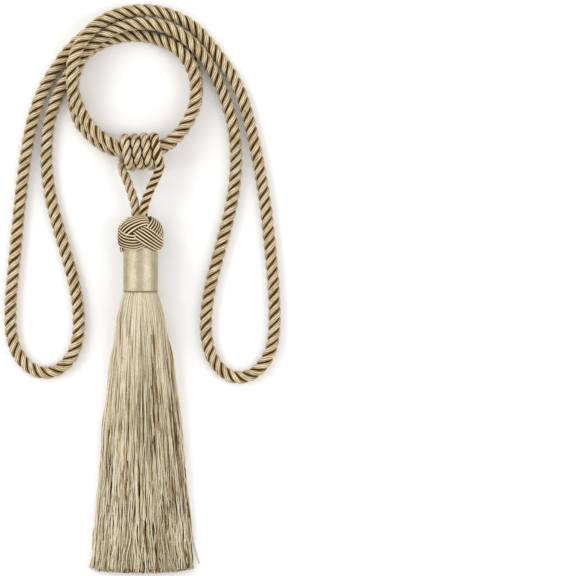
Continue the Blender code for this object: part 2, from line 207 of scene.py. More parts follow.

# Colours are sRGB bytes. A yarn's are in order from its darkest places to its lightest.
# DEEP and BROWN are painted shade, in the grooves between plies, between the knot's cords and round the
# binding.
DEEP = (66, 38, 6)
BROWN = (122, 91, 44)
ROPE_YARN = [(112, 78, 32), (178, 153, 106), (230, 220, 196)]
CORD_YARN = [(112, 78, 34), (184, 158, 110), (236, 226, 202)]
KNOT_YARN = [(156, 129, 82), (232, 219, 187)]
BINDING_YARN = [(142, 120, 80), (172, 152, 112)]
NECK_SATIN = [(156, 143, 116), (184, 173, 148), (212, 204, 186)]
SKIRT_YARN = [(64, 34, 2), (132, 106, 62), (188, 173, 140), (227, 217, 193)]
# SHADED_YARN is painted shade, for the dark pieces inside the winding, the knot and the skirt.
SHADED_YARN = [(48, 27, 8), (78, 50, 20)]
WARM_SHEEN = (200, 160, 95)
WARM_GLOSS = (255, 228, 170)
PLY_YARNS = 4.0  # which lie side by side across a ply

SURFACE_HALF = 6  # of its width
SURFACE_WHITE = 0.97
SKY_STRENGTH = 0.80
LAMPS = [
    Lamp("key", (-1.1, 1.1, 1.2), (0, -0.03, 0), (0.8, 0.8), 9),
    Lamp("left", (-1.10, -0.05, 0.80), (0, -0.05, 0), (0.32, 1.2), 4.8),
    Lamp("right", (1.0, -0.05, 0.97), (0, -0.05, 0), (0.30, 1.2), 5.4),
]

# The rope's middle line in millimetres, as in the solid part.
RIGHT_LOOP = [
    Stop(-0.7, 57.5, 20.3), Stop(-7.5, 56.9, 20.3), Stop(-13.5, 58.0, 20.1), Stop(-19.5, 61.8, 19.2),
    Stop(-27.6, 67.2, 17.3), Stop(-35.2, 74.3, 15.2), Stop(-42.1, 85.3, 14.0), Stop(-46.5, 97.8, 17.6),
    Stop(-47.5, 109.8, 22.2), Stop(-45.7, 122.5, 23.2), Stop(-39.8, 134.5, 20.8), Stop(-29.0, 146.3, 16.0),
    Stop(-14.3, 153.5, 12.0), Stop(2.3, 156.0, 9.6), Stop(19.8, 153.1, 8.0), Stop(35.9, 144.7, 6.0),
    Stop(51.7, 127.3, 4.2), Stop(65.5, 107.0, 4.15), Stop(77.2, 72.1, 4.15), Stop(85.5, 30.0, 4.15),
    Stop(90.9, -15.4, 4.15), Stop(93.4, -62.0, 4.15), Stop(89.8, -84.5, 4.15), Stop(81.0, -96.6, 4.15),
    Stop(69.3, -101.4, 4.15), Stop(57.3, -97.0, 4.15), Stop(48.5, -84.5, 4.15), Stop(45.3, -65.0, 4.15),
    Stop(52.0, -23.0, 4.15), Stop(62.9, 19.0, 4.15), Stop(66.4, 56.0, 4.15), Stop(59.8, 92.0, 4.15),
    Stop(47.7, 117.6, 7.2), Stop(35.0, 133.3, 13.2), Stop(19.6, 143.1, 13.9), Stop(0.9, 146.4, 13.6),
    Stop(-18.0, 142.3, 13.2), Stop(-33.3, 132.1, 13.3), Stop(-41.9, 121.3, 13.8), Stop(-46.3, 109.5, 12.9),
    Stop(-47.9, 98.5, 7.3), Stop(-46.5, 87.5, 4.15), Stop(-43.2, 78.0, 4.6), Stop(-36.3, 69.4, 6.2),
    Stop(-28.0, 62.4, 8.7), Stop(-20.0, 58.4, 10.6), Stop(-13.5, 56.7, 11.3), Stop(-7.5, 56.2, 11.4),
]
LEFT_LOOP = [
    Stop(-0.5, 56.3, 11.4), Stop(6.0, 56.4, 11.4), Stop(12.0, 58.5, 11.2), Stop(18.2, 61.3, 9.9),
    Stop(25.3, 67.7, 7.3), Stop(31.5, 76.2, 5.2), Stop(36.7, 86.5, 4.2), Stop(39.1, 98.5, 4.15),
    Stop(37.5, 113.5, 4.15), Stop(31.3, 129.0, 4.15), Stop(20.0, 141.6, 4.15), Stop(4.4, 147.7, 4.15),
    Stop(-13.5, 147.8, 4.15), Stop(-31.5, 143.3, 4.15), Stop(-47.1, 132.0, 4.15), Stop(-59.5, 116.2, 4.15),
    Stop(-70.5, 96.5, 4.15), Stop(-79.3, 65.1, 4.15), Stop(-85.5, 19.0, 4.15), Stop(-89.9, -27.0, 4.15),
    Stop(-91.9, -62.0, 4.15), Stop(-88.7, -80.5, 4.15), Stop(-80.3, -92.6, 4.15), Stop(-67.7, -98.0, 4.15),
    Stop(-54.9, -93.2, 4.15), Stop(-46.4, -80.5, 4.15), Stop(-43.9, -61.0, 4.15), Stop(-50.5, -22.5, 4.15),
    Stop(-62.0, 18.0, 4.15), Stop(-66.7, 55.0, 4.15), Stop(-61.3, 90.0, 4.15), Stop(-52.0, 109.4, 4.15),
    Stop(-39.6, 125.4, 4.15), Stop(-23.8, 135.0, 4.15), Stop(-4.5, 138.6, 4.15), Stop(7.5, 137.2, 4.8),
    Stop(18.0, 133.2, 9.2), Stop(26.8, 127.6, 12.9), Stop(34.7, 116.8, 13.5), Stop(38.6, 101.0, 13.8),
    Stop(36.6, 86.6, 14.2), Stop(31.5, 75.8, 15.4), Stop(24.1, 66.7, 17.8), Stop(16.7, 61.3, 19.5),
    Stop(11.0, 58.4, 20.2), Stop(5.5, 57.8, 20.3), Stop(-0.3, 57.5, 20.3),
]
# The hanger's two legs, from the knot up to the winding.
LEFT_LEG = [
    Stop(-3.4, 13.05, 14.1), Stop(-3.8, 18.2, 14.2), Stop(-5.6, 25.2, 14.5), Stop(-8.2, 33.0, 14.4),
    Stop(-11.5, 41.0, 12.9), Stop(-13.1, 45.6, 10.0),
]
RIGHT_LEG = [
    Stop(2.1, 13.05, 18.5), Stop(2.7, 18.2, 18.4), Stop(5.1, 26.0, 18.4), Stop(8.5, 33.8, 19.0),
    Stop(12.0, 41.0, 20.4), Stop(13.9, 46.6, 23.4),
]
# Where the knot's band turns back, in degrees round the knot and millimetres up from its equator.
BAND_TURNS = [
    Turn(20, 11.4), Turn(140, -8.4), Turn(288, 9.2), Turn(442, -9.2), Turn(538, 9.6), Turn(705, -7.2),
    Turn(812, 10.4), Turn(959, -8.4), Turn(1100, 11.4),
]
# The skirt's outline, from the neck down.
SKIRT = [
    Section(0.0, 22.6, 22.0), Section(6.0, 27.2, 25.6), Section(20.0, 35.4, 27.0),
    Section(48.0, 44.6, 26.0), Section(93.0, 55.9, 22.6), Section(143.0, 64.0, 19.0),
    Section(200.0, 72.8, 15.0),
]

# The cord's end below the knot, and one strand that lies apart at the skirt's lower right, in millimetres.
KNOT_TAIL = [Stop(-13.2, -7.6, 14.5), Stop(-13.5, -10.2, 15.5), Stop(-12.8, -13.3, 16.5)]
STRAY = [
    Stop(33.5, -200.0, 3.0), Stop(35.8, -214.0, 1.6), Stop(38.0, -223.5, 0.9), Stop(40.6, -231.8, 0.75),
]


def camera():
    data = bpy.data.cameras.new("camera")
    data.lens = LENS
    data.sensor_width = SENSOR
    data.clip_end = FARTHEST_VIEW
    made = bpy.data.objects.new("camera", data)
    bpy.context.scene.collection.objects.link(made)
    x = (PHOTO_MIDDLE[0] - ORIGIN_PIXEL[0]) * PIXEL
    y = (ORIGIN_PIXEL[1] - PHOTO_MIDDLE[1]) * PIXEL
    made.location = (x, y, MIDDLE_HEIGHT + CAMERA_RISE)
    bpy.context.scene.camera = made


# Lines in space.


def spline(stops, spacing):
    """Points about `spacing` metres apart on the natural cubic spline through the stops."""
    knots = np.array([tuple(stop) for stop in stops]) * MM
    at = lengths(knots)
    count, step = len(knots), np.diff(at)
    system, right = np.eye(count), np.zeros_like(knots)
    slopes = np.diff(knots, axis=0) / step[:, None]
    for i in range(1, count - 1):
        system[i, i - 1 : i + 2] = step[i - 1], 2 * (step[i - 1] + step[i]), step[i]
        right[i] = 6 * (slopes[i] - slopes[i - 1])
    bend = np.linalg.solve(system, right)
    fine = np.linspace(0, at[-1], SPLINE_POINTS)
    i = np.clip(np.searchsorted(at, fine, side="right") - 1, 0, count - 2)
    h, a, b = step[i][:, None], (at[i + 1] - fine)[:, None], (fine - at[i])[:, None]
    curve = (
        (bend[i] * a**3 + bend[i + 1] * b**3) / (6 * h)
        + (knots[i] / h - bend[i] * h / 6) * a
        + (knots[i + 1] / h - bend[i + 1] * h / 6) * b
    )
    return even_points(curve, spacing)


def lengths(points):
    """How far along a line each of its points is."""
    return np.concatenate([[0], np.cumsum(np.linalg.norm(np.diff(points, axis=0), axis=1))])


def even_points(curve, spacing):
    """Points on a line, as evenly apart as its length allows."""
    along = lengths(curve)
    even = np.linspace(0, along[-1], max(2, round(along[-1] / spacing) + 1))
    return np.stack([np.interp(even, along, curve[:, k]) for k in range(3)], axis=1)


def tangents_of(points):
    tangents = np.gradient(points, axis=0)
    return tangents / np.linalg.norm(tangents, axis=1)[:, None]


def frames(points):
    """For each point, two directions across the line, carried along it without spinning."""
    tangents = tangents_of(points)
    across = np.cross(tangents[0], (0.0, 0.0, 1.0))
    firsts = []
    for tangent in tangents:
        across = across - tangent * (across @ tangent)
        across /= np.linalg.norm(across)
        firsts.append(across)
    firsts = np.array(firsts)
    return firsts, np.cross(tangents, firsts)


def wind_stops():
    """Stops of the turns round the two runs of rope, advancing along X."""
    stops = []
    for degrees in range(FIRST_WIND_ANGLE, LAST_WIND_ANGLE + 1, WIND_STEP):
        angle = math.radians(degrees)
        south, up = math.sin(angle), math.cos(angle)
        power = 2 / WIND_POWER
        slip = np.interp(degrees, *zip(*WIND_SLIPS))
        y = WIND_CENTRE.y + slip - WIND_HALF_Y * math.copysign(abs(south) ** power, south)
        z = WIND_CENTRE.z + WIND_HALF_Z * math.copysign(abs(up) ** power, up)
        x = FIRST_TOP_X + WIND_TURN * degrees / 360 + WIND_LEAN * south
        stops.append(Stop(x / MM, y / MM, z / MM))
    return stops


def circle(sides):
    """Directions round the tassel's axis, from straight up towards +X."""
    angles = np.arange(sides) * math.tau / sides
    return np.stack([np.sin(angles), np.zeros(sides), np.cos(angles)], axis=1)


# Meshes of tubes.


class Bundle:
    """Tubes in one mesh. Its UV map holds the share of the way round a tube and the metres along it."""

    def __init__(self):
        self.points, self.faces, self.uvs, self.tones, self.count = [], [], [], [], 0

    def tube(self, rings, closed=False, shares=None, tone=0.5):
        """Adds a tube through rings of points. shares are the places of a ring's points round the tube,
        with the first one's again at the end. tone is one number for the tube, from 0 to 1."""
        n, m, _ = rings.shape
        rings = rings.copy()
        rings[:, :, 2] = np.maximum(rings[:, :, 2], FLOOR_CLEARANCE)
        middles = rings.mean(axis=1)
        along = lengths(middles)
        if closed:
            along = np.append(along, along[-1] + np.linalg.norm(middles[-1] - middles[0]))
        i, j = np.arange(n if closed else n - 1)[:, None], np.arange(m)[None, :]
        here, there, beside = i * m, (i + 1) % n * m, (j + 1) % m
        corners = (here + j, here + beside, there + beside, there + j)
        quads = np.stack(np.broadcast_arrays(*corners), axis=-1).reshape(-1, 4)
        shares = np.arange(m + 1) / m if shares is None else shares
        u0, u1, v0, v1 = np.broadcast_arrays(shares[None, :-1], shares[None, 1:], along[i], along[i + 1])
        self.points.append(rings.reshape(-1, 3))
        self.faces.extend((quads + self.count).tolist())
        self.uvs.append(np.stack([u0, v0, u1, v0, u1, v1, u0, v1], axis=-1).reshape(-1, 2))
        if not closed:
            first, last = range(m)[::-1], range((n - 1) * m, n * m)
            for ring, v in ((first, along[0]), (last, along[-1])):
                self.faces.append([self.count + k for k in ring])
                self.uvs.append(np.array([(0.5, v)] * m))
        self.tones.append(np.full(n * m, tone))
        self.count += n * m

    def build(self, name, look):
        """The mesh as one piece of the part."""
        mesh = bpy.data.meshes.new(name)
        mesh.from_pydata(np.concatenate(self.points).tolist(), [], self.faces)
        mesh.uv_layers.new(name="UVMap").data.foreach_set("uv", np.concatenate(self.uvs).ravel())
        mesh.attributes.new("tone", "FLOAT", "POINT").data.foreach_set("value", np.concatenate(self.tones))
        mesh.shade_smooth()
        made = bpy.data.objects.new(name, mesh)
        bpy.context.scene.collection.objects.link(made)
        mesh.materials.append(look)
        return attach(made, "root")


def round_tube(points, radii, sides, firsts=None, seconds=None):
    """Rings of a round tube along the points, from firsts towards seconds, the two directions across it.
    radii is a number, or one for each point."""
    if firsts is None:
        firsts, seconds = frames(points)
    angles = np.arange(sides) * math.tau / sides
    radii = np.broadcast_to(radii, len(points))[:, None, None]
    cos, sin = np.cos(angles)[None, :, None], np.sin(angles)[None, :, None]
    return points[:, None] + radii * (cos * firsts[:, None] + sin * seconds[:, None])


def ply_section():
    """For the points round a ply: their angles from its crest, their distances from the rope's middle line
    as shares of its radius, and their places across the ply, from one groove to the other and back."""
    across = np.linspace(-1, 1, PLY_POINTS)
    across = np.sign(across) * (1 - (1 - np.abs(across)) ** PLY_CROWDING)
    angles = np.concatenate([across, (PLY_CORE_SPREAD, 0.0, -PLY_CORE_SPREAD)]) * PLY_HALF_ANGLE
    radii = np.append(1 - GROOVE_DEPTH * np.abs(across) ** GROOVE_POWER, [PLY_CORE] * 3)
    return angles, radii, np.concatenate([across, (1, 1, -1, -1)]) / 2


def laid_rope(name, stops, diameter, pitch, spacing, look, reach=0.0):
    """A rope of three plies laid round each other, with its middle line. The plies run on for `reach` past
    the ends of that line."""
    line = spline(stops, spacing)
    points = line
    if reach:
        first, last = tangents_of(line)[[0, -1]]
        points = np.concatenate([[line[0] - reach * first], line, [line[-1] + reach * last]])
    firsts, seconds = frames(points)
    turn = math.tau * lengths(points) / pitch
    angles, radii, shares = ply_section()
    bundle = Bundle()
    for ply in range(PLIES):
        round_it = ((turn + math.tau * ply / PLIES)[:, None] + angles[None, :])[:, :, None]
        outward = np.cos(round_it) * firsts[:, None] + np.sin(round_it) * seconds[:, None]
        bundle.tube(points[:, None] + diameter / 2 * radii[None, :, None] * outward, shares=shares)
    return bundle.build(name, look), line


# Materials.


def linear(colour):
    """A linear colour from its sRGB bytes."""
    return (*[(c / 255 / 12.92) if c < 11 else ((c / 255 + 0.055) / 1.055) ** 2.4 for c in colour], 1)


class Look:
    """A material's node tree, with short ways to add to it."""

    def __init__(self, name, roughness, sheen=0.0, gloss=0.12, metallic=0.0):
        self.material = bpy.data.materials.new(name)
        self.material.use_nodes = True
        self.tree = self.material.node_tree
        self.shader = self.tree.nodes["Principled BSDF"]
        settings = {
            "Roughness": roughness, "Metallic": metallic,
            "Sheen Weight": sheen, "Sheen Roughness": 0.4, "Sheen Tint": linear(WARM_SHEEN),
            "Specular IOR Level": gloss, "Specular Tint": linear(WARM_GLOSS),
        }
        for socket, value in settings.items():
            self.shader.inputs[socket].default_value = value

    def node(self, kind, settings=(), **inputs):
        """A node with its settings and its inputs, by name or, as in i0, by number."""
        made = self.tree.nodes.new(kind)
        for key, value in dict(settings).items():
            setattr(made, key, value)
        for key, value in inputs.items():
            socket = made.inputs[int(key[1:])] if key[0] == "i" and key[1:].isdigit() else made.inputs[key]
            if isinstance(value, bpy.types.NodeSocket):
                self.tree.links.new(value, socket)
            else:
                socket.default_value = value
        return made

    def math(self, operation, a, b=0.0):
        return self.node("ShaderNodeMath", {"operation": operation}, i0=a, i1=b).outputs[0]

    def add(self, a, b):
        return self.math("ADD", a, b)

    def subtract(self, a, b):
        return self.math("SUBTRACT", a, b)

    def times(self, a, b):
        return self.math("MULTIPLY", a, b)

    def absolute(self, value):
        return self.math("ABSOLUTE", value)

    def swing(self, value, reach):
        """A value about a half, as a swing about zero that is `reach` times as large."""
        return self.times(self.subtract(value, 0.5), reach)

    def ridges(self, phase):
        """From 0 to 1 and back for each whole number in the phase."""
        return self.absolute(self.math("SINE", self.times(phase, math.pi)))

    def smooth(self, value, start, end):
        """From 0 at the start to 1 at the end."""
        settings = {"interpolation_type": "SMOOTHSTEP"}
        made = self.node("ShaderNodeMapRange", settings, i0=value, i1=start, i2=end, i3=0.0, i4=1.0)
        return made.outputs[0]

    def ramp(self, factor, places, colours):
        """The colours, each at its place from 0 to 1, and what lies between them."""
        made = self.node("ShaderNodeValToRGB", Fac=factor)
        elements = made.color_ramp.elements
        while len(elements) < len(colours):
            elements.new(0.5)
        for element, place, colour in zip(elements, places, colours):
            element.position = place
            element.color = linear(colour)
        return made.outputs[0]

    def mix(self, factor, under, over):
        """The node colour `under`, with the plain colour `over` on it as far as the factor goes."""
        made = self.node("ShaderNodeMix", {"data_type": "RGBA"}, i0=factor, i6=under, i7=linear(over))
        return made.outputs[2]

    def uv(self):
        source = self.node("ShaderNodeUVMap", {"uv_map": "UVMap"}).outputs[0]
        split = self.node("ShaderNodeSeparateXYZ", i0=source)
        return split.outputs[0], split.outputs[1]

    def place(self):
        return self.node("ShaderNodeTexCoord").outputs["Object"]

    def noise(self, scale, vector=None, detail=2.0):
        """Noise with `scale` features to a metre of the object, or to a unit of the vector."""
        vector = self.place() if vector is None else vector
        return self.node("ShaderNodeTexNoise", Vector=vector, Scale=scale, Detail=detail).outputs[0]

    def tone(self):
        return self.node("ShaderNodeAttribute", {"attribute_name": "tone"}).outputs["Fac"]

    def bump(self, height, distance):
        made = self.node("ShaderNodeBump", Height=height, Distance=distance, Strength=1.0)
        self.tree.links.new(made.outputs[0], self.shader.inputs["Normal"])

    def colour(self, value):
        self.tree.links.new(value, self.shader.inputs["Base Color"])


def rope_look(name, colours, groove_at, wider_shade_from=None):
    """Lustrous plies. u is 0 on a ply's crest and half at its grooves, which are painted deep brown as
    shade from about groove_at. Yarns lie side by side across it. Past a given length along, the painted
    shade is wider."""
    look = Look(name, roughness=0.42, sheen=0.05)
    u, v = look.uv()
    across = look.add(look.times(u, PLY_YARNS), look.swing(look.noise(260.0), 1.1))
    ridge = look.math("POWER", look.ridges(across), 0.7)
    aside = look.add(look.absolute(u), look.swing(look.noise(190.0), 0.10))
    # Painted shade: brown on the plies' flanks by their grooves, deep brown in the grooves.
    slope = look.smooth(aside, groove_at - 0.06, groove_at + 0.06)
    groove = look.smooth(aside, groove_at + 0.02, groove_at + 0.12)
    # Painted shade, wider in the grooves of the hanger's right leg.
    if wider_shade_from is not None:
        widened_shade = look.smooth(v, wider_shade_from, wider_shade_from + 0.006)
        slope = look.math("MAXIMUM", slope, look.times(look.smooth(aside, 0.17, 0.29), widened_shade))
        groove = look.math("MAXIMUM", groove, look.times(look.smooth(aside, 0.32, 0.44), widened_shade))
    fleck = look.noise(1500.0, detail=3.0)
    value = look.add(look.times(ridge, 0.75), look.times(fleck, 0.30))
    value = look.add(value, look.swing(look.noise(170.0), 0.60))
    yarn = look.ramp(value, (0.15, 0.60, 0.95), colours)
    look.colour(look.mix(groove, look.mix(slope, yarn, BROWN), DEEP))
    look.bump(look.add(ridge, look.times(fleck, 0.2)), distance=0.00022)
    return look.material


def cord_look(name, colours, dark):
    """Smooth round cords side by side, with a painted highlight on the side that faces out and painted
    brown shade where they meet. u is 0 and 1 on the side that faces out.
    """
    look = Look(name, roughness=0.40, sheen=0.04)
    u, _ = look.uv()
    # Painted highlight along each cord's outer side, and painted shade where the cords meet.
    aside = look.math("MINIMUM", u, look.subtract(1.0, u))
    slope = look.smooth(aside, 0.050, 0.100)
    groove = look.smooth(aside, 0.090, 0.135)
    fleck = look.noise(1300.0, detail=3.0)
    value = look.add(look.times(fleck, 0.65), look.times(look.noise(160.0), 0.45))
    yarn = look.ramp(look.subtract(value, look.times(aside, 3.0)), (0.05, 0.55), colours)
    look.colour(look.mix(groove, look.mix(slope, yarn, BROWN), dark))
    look.bump(fleck, distance=0.00008)
    return look.material


def strand_look(name, colours):
    """Single strands of fine twisted yarn. Each has its own tone, which is low for those deep inside, as
    painted shade. They are painted lightest below the neck, as painted light, and further down dark
    stretches of painted shade, darkest on one side, and light stretches of painted highlight follow each
    strand."""
    look = Look(name, roughness=0.60, gloss=0.0)
    u, v = look.uv()
    tone = look.tone()
    phase = look.add(look.times(u, 2.0), look.times(v, 330.0))
    phase = look.add(phase, look.times(look.noise(70.0), 5.0))
    twist = look.ridges(look.add(phase, look.times(tone, 37.0)))
    fleck = look.noise(1300.0)
    drawn_out = look.node("ShaderNodeMapping", Vector=look.place(), Scale=(1.0, 0.05, 1.0)).outputs[0]
    streak = look.noise(650.0, drawn_out)
    own_line = look.node("ShaderNodeCombineXYZ", i0=look.times(tone, 900.0), i1=look.times(v, 16.0))
    own_streak = look.noise(1.0, own_line.outputs[0], detail=1.0)
    far = look.smooth(v, 0.004, 0.075)
    streaked = look.smooth(v, 0.005, 0.034)
    # Painted light: lighter below the neck. Low tones of deep strands give painted shade.
    value = look.add(look.times(tone, look.add(0.28, look.times(far, 0.38))), 0.10)
    value = look.add(value, look.times(look.subtract(1.0, far), 0.37))
    value = look.add(value, look.times(twist, 0.08))
    value = look.add(value, look.swing(fleck, 0.55))
    value = look.add(value, look.swing(streak, look.times(look.add(0.25, streaked), 0.36)))
    # Painted shade on one side of each strand, and painted dark and light stretches along it.
    shaded_side = look.smooth(look.absolute(look.subtract(u, 0.56)), 0.24, 0.12)
    darker = look.times(streaked, look.add(0.20, look.times(shaded_side, 0.42)))
    value = look.subtract(value, look.times(look.smooth(own_streak, 0.51, 0.62), darker))
    value = look.add(value, look.times(look.smooth(own_streak, 0.49, 0.37), 0.25))
    look.colour(look.ramp(value, (0.05, 0.28, 0.52, 0.85), colours))
    look.bump(look.add(look.times(twist, 0.5), look.times(fleck, 0.5)), distance=0.00012)
    return look.material


def satin_look(name, colours):
    """Fine satin thread wound side by side."""
    look = Look(name, roughness=0.34, metallic=0.55)
    fleck = look.noise(900.0, detail=3.0)
    value = look.add(look.times(fleck, 0.6), look.times(look.noise(120.0), 0.4))
    look.colour(look.ramp(value, (0.2, 0.5, 0.8), colours))
    look.bump(fleck, distance=0.00006)
    return look.material


def painted_shade_look(name, colours):
    """Dark yarn colour painted as the shade between turns, cords and strands."""
    look = Look(name, roughness=0.9, gloss=0.05)
    fleck = look.noise(500.0, detail=3.0)
    look.colour(look.ramp(fleck, (0.3, 0.7), colours))
    look.bump(fleck, distance=0.0002)
    return look.material


# The rope and the cord that hangs the tassel on it.


def tieback_rope(look):
    """The rope that makes the ring and the two hanging loops."""
    stops = RIGHT_LOOP + LEFT_LOOP
    rope, line = laid_rope("rope_plies", stops, ROPE_DIAMETER, ROPE_PITCH, ROPE_STEP, look)
    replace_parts(rope, "rope")


def hanger(look):
    """The cord from the knot up to the rope, round both of its runs, and down to the knot again."""
    stops = LEFT_LEG + wind_stops() + RIGHT_LEG[::-1]
    cord, line = laid_rope("hanger_plies", stops, CORD_DIAMETER, CORD_PITCH, CORD_STEP, look, CORD_REACH)
    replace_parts(cord, "hanger")


def wind_core(look):
    """A tube inside the winding, painted dark as the shade seen between its turns."""
    south, _, up = circle(WIND_CORE_SIDES).T
    power = 2 / WIND_POWER
    y = WIND_CENTRE.y - np.copysign(np.abs(south) ** power, south) * (WIND_HALF_Y + WIND_CORE_RISE)
    z = WIND_CENTRE.z + np.copysign(np.abs(up) ** power, up) * (WIND_HALF_Z + WIND_CORE_RISE)
    places = np.linspace(*WIND_CORE_ENDS, WIND_CORE_RINGS)
    bundle = Bundle()
    bundle.tube(np.array([np.stack([np.full(WIND_CORE_SIDES, x), y, z], axis=1) for x in places]))
    bundle.build("winding_core", look)


# The tassel.


def knot_profile():
    """Distances along the head knot's outline from its equator, with the radius and the y at each."""
    outline = []
    for degrees in range(-90, 91):
        side, up = abs(math.cos(math.radians(degrees))), abs(math.sin(math.radians(degrees)))
        shape = KNOT_TOP if degrees > 0 else KNOT_BOTTOM
        y = min(shape.half * up ** (2 / shape.power), KNOT_HALF_HEIGHT)
        outline.append((KNOT_RADIUS * side ** (2 / shape.power), math.copysign(y, degrees)))
    outline = np.array(outline)
    along = lengths(outline)
    return along - along[90], outline[:, 0], outline[:, 1]


def on_knot(angles, climbs, depth):
    """Points at a depth under the knot's outline, at angles round it and distances along it."""
    along, radii, heights = knot_profile()
    radius, y = np.interp(climbs, along, radii), np.interp(climbs, along, heights)
    above, below = climbs + SLOPE_STEP, climbs - SLOPE_STEP
    dr = np.interp(above, along, radii) - np.interp(below, along, radii)
    dy = np.interp(above, along, heights) - np.interp(below, along, heights)
    size = np.hypot(dr, dy)
    radius, y = radius - depth * dy / size, y + depth * dr / size
    return np.stack([radius * np.sin(angles), y, KNOT_CENTRE_Z + radius * np.cos(angles)], axis=1)


def band_path():
    """(angle, climb, share of the way to the next turn) along the woven band."""
    path = []
    for here, there in zip(BAND_TURNS, BAND_TURNS[1:]):
        for step in range(BAND_STEPS):
            share = step / BAND_STEPS
            swing = (1 - math.cos(math.pi * share)) / 2
            degrees = here.degrees + (there.degrees - here.degrees) * share
            climb = here.climb + (there.climb - here.climb) * swing
            path.append((math.radians(degrees), climb * MM, share))
    return np.array(path)


def band_direction(turn, climb):
    """How much of the band's way goes round the knot, and how much goes up it, at each of its points."""
    whole_way = math.tau * BAND_REVOLUTIONS
    closed_turn = np.concatenate([[turn[-1] - whole_way], turn, [turn[0] + whole_way]])
    closed_climb = np.concatenate([[climb[-1]], climb, [climb[0]]])
    forward = np.gradient(closed_turn)[1:-1] * KNOT_RADIUS * BAND_CIRCLE
    upward = np.gradient(closed_climb)[1:-1]
    size = np.hypot(forward, upward)
    return forward / size, upward / size


def band_cord(points, radius):
    """Rings of one cord of the band, from the side that faces out."""
    tangents = np.roll(points, -1, axis=0) - np.roll(points, 1, axis=0)
    tangents /= np.linalg.norm(tangents, axis=1)[:, None]
    outward = (points - np.array((0.0, 0.0, KNOT_CENTRE_Z))) * (1.0, 1.0, CORD_FACING)
    outward -= tangents * np.sum(outward * tangents, axis=1)[:, None]
    outward /= np.linalg.norm(outward, axis=1)[:, None]
    return round_tube(points, radius, BAND_CORD_SIDES, outward, np.cross(tangents, outward))


def head_knot(look, core_look):
    """The knot's band, of cords side by side, round a core painted dark as shade. After each of its turns
    the band goes under at its first crossing, then over."""
    turn, climb, share = band_path().T
    forward, upward = band_direction(turn, climb)
    spread = np.interp(np.degrees(turn), *zip(*BAND_SPREADS))
    radius = BAND_CORD_RADIUS * (1 + CORD_SWELL * (spread - 1))
    bundle = Bundle()
    for cord in range(BAND_CORDS):
        offset = (cord * spread - (BAND_CORDS - 1) / 2) * BAND_SPACING
        angle = turn - offset * upward / (KNOT_RADIUS * BAND_CIRCLE)
        passing = share + CROSSING_SKEW * offset * upward
        dip = np.sin(np.pi * np.clip((passing - DIP_START) / DIP_LENGTH, 0.0, 1.0)) ** DIP_POWER
        points = on_knot(angle, climb + offset * forward, radius + BAND_DROP * dip)
        bundle.tube(band_cord(points, radius), closed=True)
    tail = spline(KNOT_TAIL, TAIL_STEP)
    # The tail's side painted light faces up, and its painted shade faces down.
    facing = np.broadcast_to((0.0, 0.0, 1.0), tail.shape)
    bundle.tube(round_tube(tail, TAIL_RADIUS, BAND_CORD_SIDES, facing, np.cross(tangents_of(tail), facing)))
    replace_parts(bundle.build("knot_band", look), "head_knot")
    climbs = np.linspace(*KNOT_CORE_REACH, KNOT_CORE_ROWS)
    depths = np.interp(climbs, *zip(*KNOT_CORE_DEPTHS))
    angles = np.arange(KNOT_CORE_SIDES) * math.tau / KNOT_CORE_SIDES
    columns = [on_knot(np.full(KNOT_CORE_ROWS, angle), climbs, depths) for angle in angles]
    core = Bundle()
    core.tube(np.stack(columns, axis=1)[:, ::-1])
    core.build("knot_core", core_look)


def neck_wrap(look, binding_look):
    """Fine thread wound side by side round the neck, and the binding at its lower edge."""
    outward = circle(NECK_SIDES)
    rings = []
    for turn in range(int((NECK_TOP_Y - NECK_END_Y) / THREAD_PITCH)):
        for share in THREAD_SHARES:
            y = NECK_TOP_Y - (turn + share) * THREAD_PITCH
            radius = NECK_RADIUS + THREAD_RISE * math.sin(math.pi * share)
            rings.append(np.array((0.0, y, NECK_CENTRE_Z)) + radius * outward)
    thread = Bundle()
    thread.tube(np.array(rings))
    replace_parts(thread.build("neck_thread", look), "neck_wrap")
    outward = circle(BINDING_STEPS)
    points = np.array((0.0, NECK_END_Y, NECK_CENTRE_Z)) + (NECK_RADIUS - BINDING_SINK) * outward
    lengthwise = np.broadcast_to((0.0, 1.0, 0.0), outward.shape)
    binding = Bundle()
    binding.tube(round_tube(points, BINDING_RADIUS, BINDING_SIDES, outward, lengthwise), closed=True)
    binding.build("neck_binding", binding_look)


def round_share(q):
    """Half the width of the skirt's round root at a level q, as a share of its widest half."""
    return math.sqrt(max(1 - (2 * q - 1) ** 2, LEAST_ROUND))


def row_slope(p, q):
    """How many rows lower a strand lies where its row runs out past the one above, so that no step
    shows."""
    if q < 0.5:
        return 0.0
    covered = round_share(min(q + 1 / STRAND_ROWS, 1.0)) / round_share(q)
    return max(abs(p) - covered, 0.0) / (1 - covered)


def skirt_place(p, q, along):
    """Where a strand lies: p from -1 to 1 across the skirt and q from 0 to 1 up from its underside."""
    places = np.array([row.along for row in SKIRT]) * MM
    half = np.interp(along, places, [row.width for row in SKIRT]) * MM / 2
    thickness = np.interp(along, places, [row.thickness for row in SKIRT]) * MM
    settled = np.clip(along / SETTLING, 0.0, 1.0)
    settled = settled * settled * (3 - 2 * settled)
    chord = half * (round_share(q) * (1 - settled) + math.sqrt(1 - MOUND * q**2) * settled)
    floor = (NECK_CENTRE_Z - thickness / 2) * (1 - settled)
    arch = 1 - ARCH * settled * p**2 * q
    return chord * p + DRIFT * settled * along / SKIRT_LENGTH, floor + thickness * q * arch


